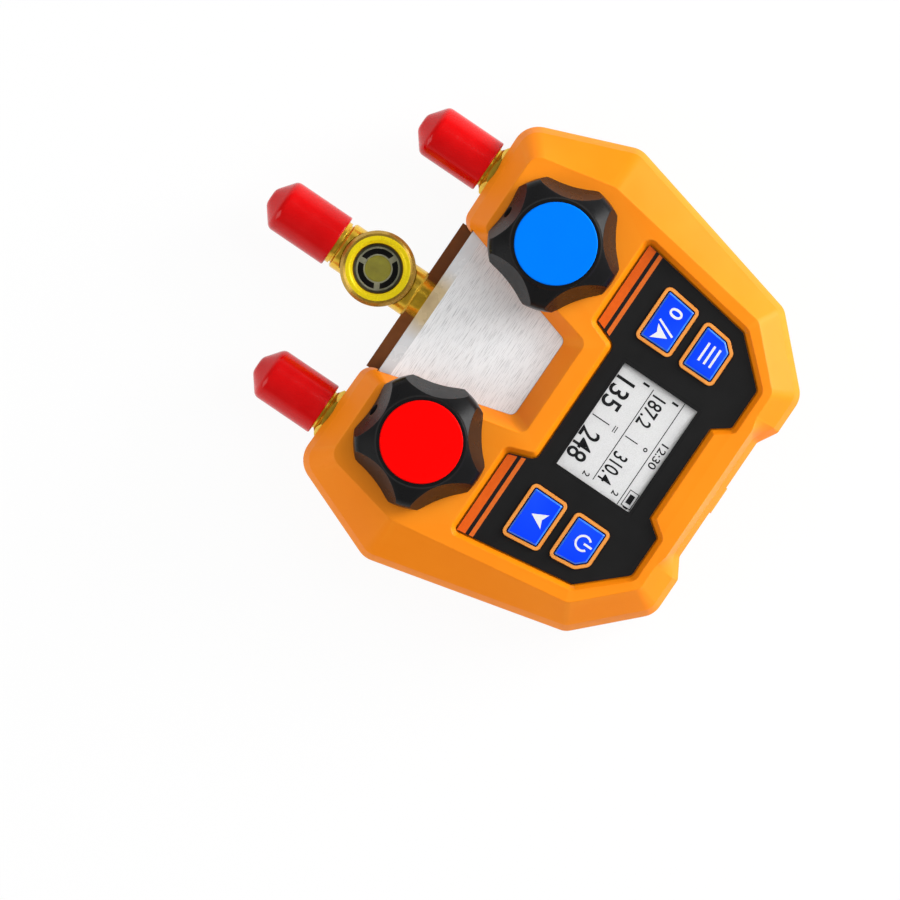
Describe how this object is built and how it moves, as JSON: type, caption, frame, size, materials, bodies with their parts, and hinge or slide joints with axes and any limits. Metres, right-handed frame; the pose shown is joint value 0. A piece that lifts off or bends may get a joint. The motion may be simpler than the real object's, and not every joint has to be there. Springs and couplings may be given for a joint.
{
  "type": "refrigerant manifold gauge",
  "caption": "Digital manifold gauge: arch-shaped casing with display and keys round a metal valve block with lobed knobs, capped flare ports and a sight glass.",
  "frame": {"origin": "on the flat back face, midway between the two valve axes", "axes": "+Z out of the face, +X to the device's right, +Y up the face, so the ports point along -Y"},
  "size_m": [0.1642, 0.1847, 0.055],
  "materials": {
    "casing_orange": "fine-grained moulded plastic, semi-gloss",
    "plate_black": "matt black printed plate",
    "clear_window": "clear polished pane",
    "display_grey": "grey reflective display",
    "key_blue": "smooth blue key cap",
    "key_rubber": "grey silicone rubber",
    "board_green": "glass-fibre board with green mask",
    "screw_steel": "zinc plated",
    "cell_sleeve": "plain sleeved cell",
    "block_aluminium": "brushed along X, clear anodised",
    "brass": "turned, bright",
    "sight_lens": "polished",
    "spider_metal": "dull plated",
    "indicator_olive": "moisture paper",
    "seal_black": "nitrile rubber",
    "cap_red": "soft glossy vinyl",
    "sensor_steel": "turned stainless",
    "seat_white": "white fluoropolymer",
    "knob_black": "satin moulded",
    "disc_blue": "smooth",
    "disc_red": "smooth",
    "hook_wire": "nickel-plated wire"
  },
  "bodies": {
    "root": {"front_cover": "casing_orange", "rear_cover": "casing_orange", "battery_door": "casing_orange", "faceplate": "plate_black", "display_window": "clear_window", "display_module": "display_grey", "key_mat_left": "key_rubber", "key_mat_right": "key_rubber", "circuit_board": "board_green", "board_screws": "screw_steel", "case_screws": "screw_steel", "block_screws": "screw_steel", "battery_door_screw": "screw_steel", "battery_contacts": "screw_steel", "battery_1": "cell_sleeve", "battery_2": "cell_sleeve", "manifold_block": "block_aluminium", "passage_plugs": "brass", "port_fitting_low": "brass", "port_fitting_high": "brass", "port_body_centre": "brass", "sight_glass_bezel": "brass", "packing_nut_low": "brass", "packing_nut_high": "brass", "sight_glass_lens": "sight_lens", "sight_glass_spider": "spider_metal", "sight_glass_indicator": "indicator_olive", "sight_glass_seal": "seal_black", "stem_seal_low": "seal_black", "stem_seal_high": "seal_black", "port_seals": "seal_black", "pressure_sensor_low": "sensor_steel", "pressure_sensor_high": "sensor_steel"},
    "low_seat": {"seat_low": "seat_white"},
    "low_knob": {"knob_low": "knob_black", "knob_disc_low": "disc_blue", "stem_low": "sensor_steel", "set_screw_low": "screw_steel"},
    "high_seat": {"seat_high": "seat_white"},
    "high_knob": {"knob_high": "knob_black", "knob_disc_high": "disc_red", "stem_high": "sensor_steel", "set_screw_high": "screw_steel"},
    "upper_left_key": {"key_upper_left": "key_blue"},
    "lower_left_key": {"key_lower_left": "key_blue"},
    "upper_right_key": {"key_upper_right": "key_blue"},
    "lower_right_key": {"key_lower_right": "key_blue"},
    "low_cap": {"cap_low": "cap_red"},
    "centre_cap": {"cap_centre": "cap_red"},
    "high_cap": {"cap_high": "cap_red"},
    "hook": {"hanging_hook": "hook_wire"}
  },
  "joints": [
    {"name": "low_turn", "type": "hinge", "parent": "low_seat", "child": "low_knob", "pos_m": [-0.0398, 0, 0], "axis": [0, 0, 1], "range_deg": [0, 1080]},
    {"name": "low_rise", "type": "slide", "parent": "root", "child": "low_seat", "axis": [0, 0, 1], "range_m": [0, 0.003]},
    {"name": "high_turn", "type": "hinge", "parent": "high_seat", "child": "high_knob", "pos_m": [0.0398, 0, 0], "axis": [0, 0, 1], "range_deg": [0, 1080]},
    {"name": "high_rise", "type": "slide", "parent": "root", "child": "high_seat", "axis": [0, 0, 1], "range_m": [0, 0.003]},
    {"name": "upper_left_press", "type": "slide", "parent": "root", "child": "upper_left_key", "axis": [0, 0, -1], "range_m": [0, 0.0008], "stiffness_N_per_m": 400, "springref_m": -0.0003},
    {"name": "upper_right_press", "type": "slide", "parent": "root", "child": "upper_right_key", "axis": [0, 0, -1], "range_m": [0, 0.0008], "stiffness_N_per_m": 400, "springref_m": -0.0003},
    {"name": "lower_left_press", "type": "slide", "parent": "root", "child": "lower_left_key", "axis": [0, 0, -1], "range_m": [0, 0.0008], "stiffness_N_per_m": 400, "springref_m": -0.0003},
    {"name": "lower_right_press", "type": "slide", "parent": "root", "child": "lower_right_key", "axis": [0, 0, -1], "range_m": [0, 0.0008], "stiffness_N_per_m": 400, "springref_m": -0.0003},
    {"name": "low_cap_pull", "type": "slide", "parent": "root", "child": "low_cap", "axis": [0, -1, 0], "range_m": [0, 0.045]},
    {"name": "centre_cap_pull", "type": "slide", "parent": "root", "child": "centre_cap", "axis": [0, -1, 0], "range_m": [0, 0.045]},
    {"name": "high_cap_pull", "type": "slide", "parent": "root", "child": "high_cap", "axis": [0, -1, 0], "range_m": [0, 0.045]},
    {"name": "hook_swing", "type": "hinge", "parent": "root", "child": "hook", "pos_m": [0, 0.0899, 0.0039], "axis": [1, 0, 0], "range_deg": [0, 180]}
  ],
  "couplings": [
    {"joint": "low_rise", "follows": "low_turn", "m_per_rad": 0.00015915},
    {"joint": "high_rise", "follows": "high_turn", "m_per_rad": 0.00015915}
  ]
}
